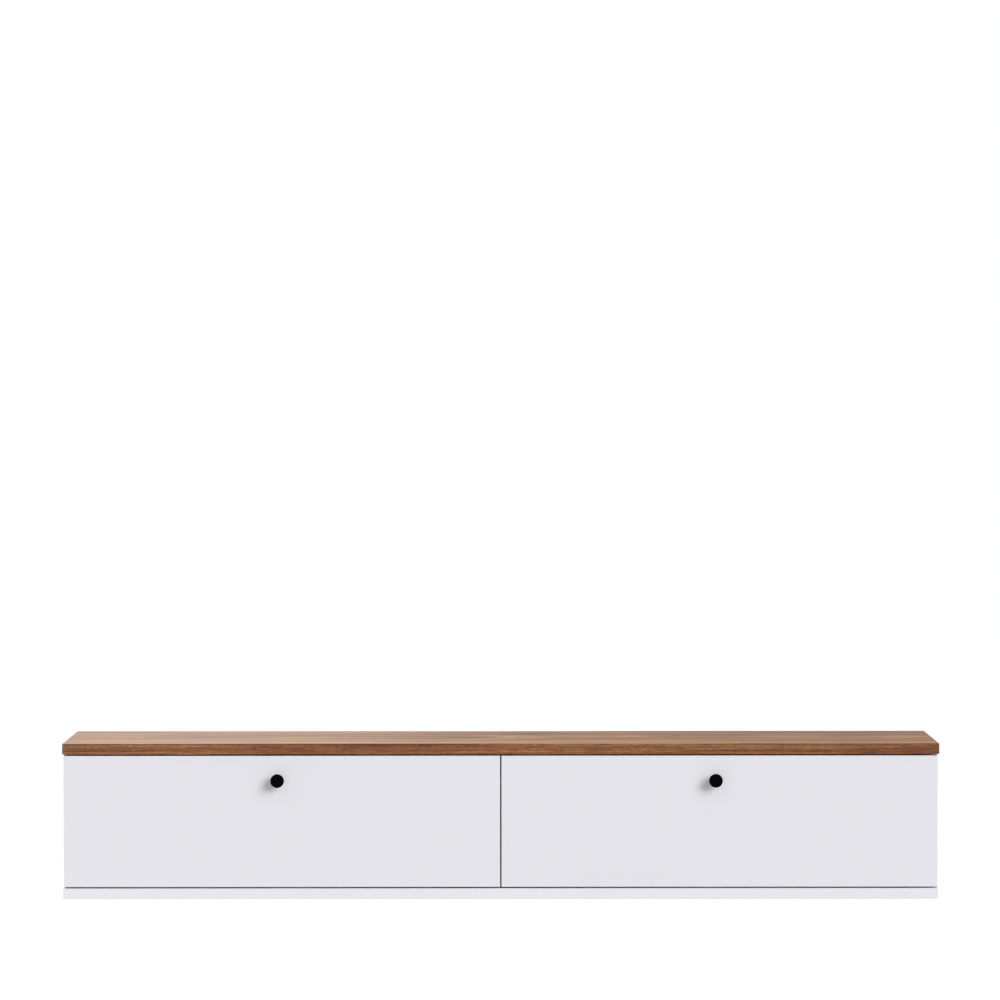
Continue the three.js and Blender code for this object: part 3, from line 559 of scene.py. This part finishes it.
# A pan head: its dome as shares of radius and height, and its cross recess as shares of the same
HEAD_DOME = [(1, 0), (1, 0.45), (0.93, 0.75), (0.80, 0.93), (0.66, 1)]
CROSS_ARMS = 4
STEPS_PER_ARM = 9
CROSS_HALF_SHARE = 0.15
CROSS_REACH_SHARE = 0.56
CROSS_DEPTH_SHARE = 0.55
CROSS_FLOOR_SHARE = 0.8
ARM_TIP_HALF = math.radians(24)


def cross_point(reach, half, angle, height):
    """The point of a cross-shaped outline that lies in a direction from its middle."""
    arm_half = math.pi / CROSS_ARMS
    local = (angle + arm_half) % (2 * arm_half) - arm_half
    if abs(local) < ARM_TIP_HALF:
        along, aside = reach, half * local / ARM_TIP_HALF
    else:
        inward = (abs(local) - ARM_TIP_HALF) / (arm_half - ARM_TIP_HALF)
        along, aside = reach + (half - reach) * inward, math.copysign(half, local)
    return Matrix.Rotation(angle - local, 3, "Z") @ Vector((along, aside, height))


def cross_head(bm, size, matrix):
    """A pan head with a cross recess, standing on its seat plane; size is its radius and height."""
    radius, height = size
    steps = CROSS_ARMS * STEPS_PER_ARM
    reach, half = radius * CROSS_REACH_SHARE, radius * CROSS_HALF_SHARE
    outlines = [[circle_point(radius * r, s, steps, height * z) for s in range(steps)] for r, z in HEAD_DOME]
    for shrink, level in ((1, height), (CROSS_FLOOR_SHARE, height - height * CROSS_DEPTH_SHARE)):
        angles = [2 * math.pi * step / steps for step in range(steps)]
        outlines.append([cross_point(reach * shrink, half * shrink, angle, level) for angle in angles])
    rings = [[bm.verts.new(matrix @ point) for point in outline] for outline in outlines]
    for low, high in zip(rings, rings[1:]):
        for step in range(steps):
            following = (step + 1) % steps
            bm.faces.new((low[step], low[following], high[following], high[step]))
    bm.faces.new(rings[-1])
    bm.faces.new(list(reversed(rings[0])))


FRONTWARD = (0, -1, 0)
REARWARD = (0, 1, 0)
UPWARD = (0, 0, 1)


def screws(name, body, heads):
    """A piece of screw heads, each with its size, its place and the way it faces."""

    def make(bm):
        for size, place, direction in heads:
            cross_head(bm, size, facing(Vector(place), direction))

    piece_from(make, name, body, "zinc_plated_steel")


def apart(middle, pitch):
    """The two places that lie a pitch apart about a middle."""
    return (middle - pitch / 2, middle + pitch / 2)


# Radius and height of each screw head
FLANGE_HEAD = (3.4 * MM, 1.5 * MM)
PLATE_HEAD = (3.8 * MM, 1.8 * MM)
ARM_HEAD = (3.6 * MM, 1.9 * MM)
HOUSING_HEAD = (4.0 * MM, 1.8 * MM)
BRACKET_HEAD = (3.9 * MM, 1.8 * MM)
STRIKE_HEAD = (2.8 * MM, 0.25 * MM)
ADJUSTER_HEAD = (3.1 * MM, 2.2 * MM)

# Places of the holes in the hinges, as the CAD has them
SEAM = 0.3 * MM
HINGE_SCREW_PITCH = 26 * MM
HINGE_SCREW_RISE = 14 * MM
PLATE_WING_PITCH = 32 * MM
PLATE_BASE = 2 * MM
ARM_STOCK = 2.6 * MM


def hinge_screws(side, place):
    """Heads in a hinge's flange, on its plate's wings and over the slot of its arm."""
    housing = f"{side}_{place}_hinge_housing"
    middle_x = centre_of(housing).x
    flange_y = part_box(housing)[1].y
    flange_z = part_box(f"{side}_door")[0].z + HINGE_SCREW_RISE
    flange_x = apart(middle_x, HINGE_SCREW_PITCH)
    in_flange = [(FLANGE_HEAD, (x, flange_y, flange_z), REARWARD) for x in flange_x]
    screws(f"{side}_{place}_flange_screws", f"{side}_flap", in_flange)

    plate_low, plate_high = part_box(f"{side}_{place}_hinge_plate")
    plate_y = centre_of(f"{side}_{place}_hinge_plate").y
    wing_z = plate_low.z + PLATE_BASE
    wing_x = apart(middle_x, PLATE_WING_PITCH)
    on_plate = [(PLATE_HEAD, (x, plate_y, wing_z), UPWARD) for x in wing_x]
    on_plate.append((ARM_HEAD, (middle_x, plate_y, plate_high.z + SEAM + ARM_STOCK), UPWARD))
    screws(f"{side}_{place}_plate_screws", "carcass", on_plate)


BRACKET_PITCH = 32 * MM
BRACKET_STOCK = 3 * MM
HOUSING_HOLE_INSET = 9 * MM


def stay_face(side, sign):
    """The corners of a stay's housing, and the X of its face towards the middle of the console."""
    low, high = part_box(f"{side}_stay_housing")
    return low, high, low.x if sign > 0 else high.x


def stay_housing_screws(side, sign):
    """Heads in two corners of a stay's housing."""
    low, high, face_x = stay_face(side, sign)
    corners = [
        (face_x, low.y + HOUSING_HOLE_INSET, low.z + HOUSING_HOLE_INSET),
        (face_x, high.y - HOUSING_HOLE_INSET, high.z - HOUSING_HOLE_INSET),
    ]
    heads = [(HOUSING_HEAD, corner, (-sign, 0, 0)) for corner in corners]
    screws(f"{side}_stay_housing_screws", "carcass", heads)


def stay_bracket_screws(side, sign):
    """Heads in the leaf of a stay's bracket on the door."""
    middle = centre_of(f"{side}_stay_bracket")
    hole_x = middle.x - sign * BRACKET_STOCK / 2
    leaf_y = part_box(f"{side}_stay_bracket")[0].y + BRACKET_STOCK
    heads = [(BRACKET_HEAD, (hole_x, leaf_y, z), REARWARD) for z in apart(middle.z, BRACKET_PITCH)]
    screws(f"{side}_stay_bracket_screws", f"{side}_flap", heads)


# The stay's adjusting dial: its place behind the front of the housing, how deep it is sunk, its shape
DIAL_FROM_FRONT = 56 * MM
DIAL_DEPTH = 2 * MM
DIAL_RADIUS = 5.4 * MM
DIAL_BOTTOM = 0.1 * MM
DIAL_SHOULDER = 1.3 * MM
DIAL_TOP = 1.7 * MM
DIAL_EDGE = 0.4 * MM
DIAL_DIP_RADIUS = 1.6 * MM
DIAL_DIP_TAPER = 0.2 * MM
DIAL_DIP_FLOOR = 1.0 * MM
SMALL_STEPS = 40


def stay_dial(side, sign):
    """The small dial sunk in a stay's housing, with a dip in its middle."""
    low, high, face_x = stay_face(side, sign)
    seat = Vector((face_x + sign * DIAL_DEPTH, low.y + DIAL_FROM_FRONT, (low.z + high.z) / 2))
    profile = [
        (0, DIAL_BOTTOM),
        (DIAL_RADIUS, DIAL_BOTTOM),
        (DIAL_RADIUS, DIAL_SHOULDER),
        (DIAL_RADIUS - DIAL_EDGE, DIAL_TOP),
        (DIAL_DIP_RADIUS, DIAL_TOP),
        (DIAL_DIP_RADIUS - DIAL_DIP_TAPER, DIAL_DIP_FLOOR),
        (0, DIAL_DIP_FLOOR),
    ]

    def dial(bm):
        turned(bm, profile, SMALL_STEPS, facing(seat, (-sign, 0, 0)))

    piece_from(dial, f"{side}_stay_dial", "carcass", "white_plastic")


def strike_screw(side):
    """The countersunk head in the middle of a strike plate."""
    middle = centre_of(f"{side}_strike_plate")
    rear_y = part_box(f"{side}_strike_plate")[1].y
    screws(f"{side}_strike_screw", f"{side}_flap", [(STRIKE_HEAD, (middle.x, rear_y, middle.z), REARWARD)])


ADJUSTER_PITCH = 24 * MM
ADJUSTER_DEPTH = 3 * MM


def hanger_adjusters(side):
    """The two adjusting screws sunk in the front of a hanger box."""
    middle = centre_of(f"{side}_hanger_box")
    floor_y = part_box(f"{side}_hanger_box")[0].y + ADJUSTER_DEPTH
    heads = [(ADJUSTER_HEAD, (middle.x, floor_y, z), FRONTWARD) for z in apart(middle.z, ADJUSTER_PITCH)]
    screws(f"{side}_hanger_adjusters", "carcass", heads)


CAP_RADIUS = 8.5 * MM
CAP_HEIGHT = 0.9 * MM
CAP_FROM_JOINT = 34 * MM
CAP_FROM_FRONT = 50 * MM
CAP_FROM_BACK = 86 * MM


def fitting_caps(name, panel, direction):
    """White caps over the cam fittings that hold a panel to the top and bottom boards."""
    low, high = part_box(panel)
    face_x = high.x if direction > 0 else low.x
    rim = arc((CAP_RADIUS - CAP_HEIGHT, 0), CAP_HEIGHT, 0, 90, 4)
    profile = [(0, 0), (CAP_RADIUS, 0), *rim, (0, CAP_HEIGHT)]

    def caps(bm):
        for y in (low.y + CAP_FROM_FRONT, high.y - CAP_FROM_BACK):
            for z in (low.z + CAP_FROM_JOINT, high.z - CAP_FROM_JOINT):
                turned(bm, profile, SMALL_STEPS, facing(Vector((face_x, y, z)), (direction, 0, 0)))

    piece_from(caps, name, "carcass", "white_plastic")


KNOB_HEAD = 9 * MM
KNOB_RIM = 2.6 * MM
KNOB_FACE_INSET = 0.4 * MM
KNOB_BACK_RIM = 1.6 * MM
KNOB_BACK_RISE = 1.7 * MM
KNOB_NECK = 5.5 * MM
KNOB_HEAD_FLARE = 4.0 * MM
KNOB_FOOT_FLARE = 2.0 * MM
KNOB_FOOT_RADIUS = 8 * MM
KNOB_FOOT = 2.2 * MM
KNOB_FOOT_RISE = 1.2 * MM
KNOB_FOOT_EDGE = 0.5 * MM
KNOB_FOOT_BEVEL = 0.4 * MM
KNOB_STEPS = 128


def fine_knob(side):
    """Turned knob in place of the CAD one: foot, waisted neck and flat head with a rounded rim."""
    low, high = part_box(f"{side}_knob")
    middle = centre_of(f"{side}_knob")
    radius = (high.x - low.x) / 2
    length = high.y - low.y
    back = length - KNOB_HEAD
    foot_edge = (KNOB_FOOT_RADIUS - KNOB_FOOT_EDGE, KNOB_FOOT_EDGE)
    foot_flare = (KNOB_NECK + KNOB_FOOT_FLARE, KNOB_FOOT + KNOB_FOOT_RISE)
    head_flare = (KNOB_NECK + KNOB_HEAD_FLARE, back - KNOB_HEAD_FLARE)
    profile = [(0, 0), (KNOB_FOOT_RADIUS - KNOB_FOOT_BEVEL, 0)]
    profile += arc(foot_edge, KNOB_FOOT_EDGE, -60, 90, 5)
    profile += arc(foot_flare, KNOB_FOOT_FLARE, 250, 180, 6)
    profile += arc(head_flare, KNOB_HEAD_FLARE, 180, 100, 8)
    profile += arc((radius - KNOB_BACK_RIM, back + KNOB_BACK_RISE), KNOB_BACK_RIM, -70, 0, 6)
    profile += arc((radius - KNOB_RIM, length - KNOB_RIM), KNOB_RIM, 0, 90, 12)
    profile += [(radius - KNOB_RIM - KNOB_FACE_INSET, length), (0, length)]

    def make(bm):
        turned(bm, profile, KNOB_STEPS, facing(Vector((middle.x, high.y, middle.z)), FRONTWARD))

    piece = piece_from(make, f"{side}_turned_knob", f"{side}_flap", "black_knob")
    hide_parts(f"{side}_knob")


GROMMET_FLANGE = 8 * MM
GROMMET_FLANGE_STOCK = 2 * MM
GROMMET_FLANGE_EDGE = 1.2 * MM
GROMMET_FACE_EDGE = 2.5 * MM
GROMMET_TUBE_WALL = 4 * MM
GROMMET_LEAD_IN = 1.0 * MM
GROMMET_LEAD_SEAT = 1.2 * MM
GROMMET_BORE_BEVEL = 0.3 * MM
GROMMET_TAIL_BEVEL = 0.5 * MM
GROMMET_STEPS = 96


def fine_grommet(side):
    """Moulded grommet in place of the CAD one, its flange rounded over."""
    low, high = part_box(f"{side}_cable_grommet")
    middle = centre_of(f"{side}_cable_grommet")
    length = high.y - low.y
    flange = (high.x - low.x) / 2
    bore = flange - GROMMET_FLANGE
    tube = bore + GROMMET_TUBE_WALL
    stock = GROMMET_FLANGE_STOCK
    flange_edge = (flange - GROMMET_FLANGE_EDGE, GROMMET_FLANGE_EDGE)
    lead_in = (bore + GROMMET_LEAD_IN, GROMMET_LEAD_IN)
    profile = [(tube, stock), (flange, stock)]
    profile += arc(flange_edge, GROMMET_FLANGE_EDGE, 0, -80, 6)
    profile += [(flange - GROMMET_FACE_EDGE, 0), (bore + GROMMET_LEAD_SEAT, 0)]
    profile += arc(lead_in, GROMMET_LEAD_IN, 270, 180, 6)
    profile += [(bore, length - GROMMET_BORE_BEVEL), (bore + GROMMET_BORE_BEVEL, length)]
    profile += [(tube - GROMMET_TAIL_BEVEL, length), (tube, length - GROMMET_TAIL_BEVEL), (tube, stock)]

    def make(bm):
        turned(bm, profile, GROMMET_STEPS, facing(Vector((middle.x, low.y, middle.z)), REARWARD))

    piece = piece_from(make, f"{side}_moulded_grommet", "carcass", "white_plastic")
    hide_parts(f"{side}_cable_grommet")


# Camera, as the photograph's perspective gives it
IMAGE_SIDE = 1000
FOCAL_PX = 4293
HORIZON_PX = 382.8
SENSOR = 36
CAMERA_BACK = 9110 * MM
CAMERA_OVER_TOP = 740 * MM
CAMERA_LEFT = 0.85 * MM
CAMERA_ROLL = math.radians(0.04)
CAMERA_CLIP = 100


def make_camera():
    """A long lens in front of the console, a little above its top."""
    top_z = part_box("top_panel")[1].z
    camera = new_object("camera", bpy.data.cameras.new("camera"))
    camera.data.sensor_width = SENSOR
    camera.data.lens = FOCAL_PX * SENSOR / IMAGE_SIDE
    camera.data.clip_end = CAMERA_CLIP
    camera.location = (-CAMERA_LEFT, -CAMERA_BACK, top_z + CAMERA_OVER_TOP)
    pitch = math.atan((IMAGE_SIDE / 2 - HORIZON_PX) / FOCAL_PX)
    camera.rotation_euler = (math.pi / 2 - pitch, CAMERA_ROLL, 0)
    bpy.context.scene.camera = camera


FLOOR_DROP = 420 * MM
FLOOR_SIDE = 30
FLOOR_GLOW = 0.55
FLOOR_COLOUR = (0.48, 0.48, 0.48)


def floor_finish():
    """Matt pale floor that glows for the camera and for mirrors, and is clear from below."""
    g = Finish("pale_floor")
    g.set(Base_Color=(*FLOOR_COLOUR, 1), Roughness=0.9, Specular_IOR_Level=0.1)
    ray = g.node("ShaderNodeLightPath").outputs
    seen = g.math("MAXIMUM", ray["Is Camera Ray"], ray["Is Glossy Ray"])
    seen = g.math("MAXIMUM", seen, ray["Is Transmission Ray"])
    glow = g.node("ShaderNodeEmission", {"Strength": g.math("MULTIPLY", seen, FLOOR_GLOW)})
    both = g.node("ShaderNodeAddShader", {0: g.shader.outputs["BSDF"], 1: glow.outputs["Emission"]})
    below = g.node("ShaderNodeNewGeometry").outputs["Backfacing"]
    clear = g.node("ShaderNodeBsdfTransparent").outputs["BSDF"]
    one_sided = g.node("ShaderNodeMixShader", {0: below, 1: both.outputs["Shader"], 2: clear})
    g.feed(g.tree.nodes["Material Output"].inputs["Surface"], one_sided.outputs["Shader"])
    return g.material


def make_floor():
    """Pale floor under the console: white to the camera, with the shadow kept."""
    floor_z = CAD_BOUNDS[0].z - FLOOR_DROP
    half = FLOOR_SIDE / 2
    corners = [(-half, -half), (half, -half), (half, half), (-half, half)]
    mesh = bpy.data.meshes.new("floor")
    mesh.from_pydata([(x, y, floor_z) for x, y in corners], [], [(0, 1, 2, 3)])
    mesh.materials.append(floor_finish())
    floor = new_object("floor", mesh)


# Light from the room in front, the backdrop and the ceiling, and where one runs into the next
WORLD_FRONT = 0.41
WORLD_REAR = 0.70
WORLD_CEILING = 0.36
FRONT_TO_REAR = (-0.5, 0.6)
WALL_TO_CEILING = (0.3, 0.9)


def make_world():
    """White to the camera; as a light, a pale ceiling and backdrop, and a dimmer room in front."""
    world = bpy.data.worlds.new("studio")
    bpy.context.scene.world = world
    world.use_nodes = True
    g = Graph(world.node_tree)
    way = g.parts(g.node("ShaderNodeTexCoord").outputs["Generated"])
    room = g.math(
        "ADD",
        g.ease(way["Y"], FRONT_TO_REAR, (WORLD_FRONT, WORLD_REAR)),
        g.ease(way["Z"], WALL_TO_CEILING, (0, WORLD_CEILING)),
    )
    seen = g.node("ShaderNodeLightPath").outputs["Is Camera Ray"]
    level = g.node("ShaderNodeMix", {"Factor": seen, "A": room, "B": 1})
    back = g.tree.nodes["Background"]
    g.feed(back.inputs["Color"], (*WHITE, 1))
    g.feed(back.inputs["Strength"], level.outputs["Result"])


KEY_AZIMUTH = math.radians(43)
KEY_ELEVATION = math.radians(23.5)
KEY_STRENGTH = 2.2
KEY_ANGLE = math.radians(34)
RIM_PLACE = Vector((-1.05, 1.1, 1.5))
RIM_AIM = Vector((-0.6, -0.16, 0.08))
RIM_SIDE = 1.8
RIM_POWER = 25
RIM_COLOUR = (1.0, 0.985, 0.95)


def lamp(name, kind, aim_from, **settings):
    """A lamp whose light falls from the given direction."""
    light = bpy.data.lights.new(name, kind)
    for key, value in settings.items():
        setattr(light, key, value)
    made = new_object(name, light)
    made.rotation_mode = "QUATERNION"
    made.rotation_quaternion = aim_from.to_track_quat("Z", "Y")
    return made


def make_lights():
    """A broad key from the upper right of the front, and a weak lamp behind the left end."""
    ahead = math.cos(KEY_ELEVATION)
    towards = Vector((math.sin(KEY_AZIMUTH) * ahead, -math.cos(KEY_AZIMUTH) * ahead, math.sin(KEY_ELEVATION)))
    lamp("key", "SUN", towards, energy=KEY_STRENGTH, angle=KEY_ANGLE)
    rim_light = {"energy": RIM_POWER, "size": RIM_SIDE, "color": RIM_COLOUR}
    rim = lamp("rim", "AREA", RIM_PLACE - RIM_AIM, **rim_light)
    rim.location = RIM_PLACE
    rim.visible_camera = False


make_camera()
make_world()
make_lights()
make_floor()
dress_frame()
for side, sign in SIDES.items():
    fine_knob(side)
    fine_grommet(side)
    stay_housing_screws(side, sign)
    stay_dial(side, sign)
    stay_bracket_screws(side, sign)
    strike_screw(side)
    hanger_adjusters(side)
    fitting_caps(f"{side}_side_caps", f"{side}_side_panel", -sign)
    for place in ("inner", "outer"):
        hinge_screws(side, place)
fitting_caps("divider_caps", "centre_divider", -1)

bpy.context.scene.view_settings.view_transform = "Standard"
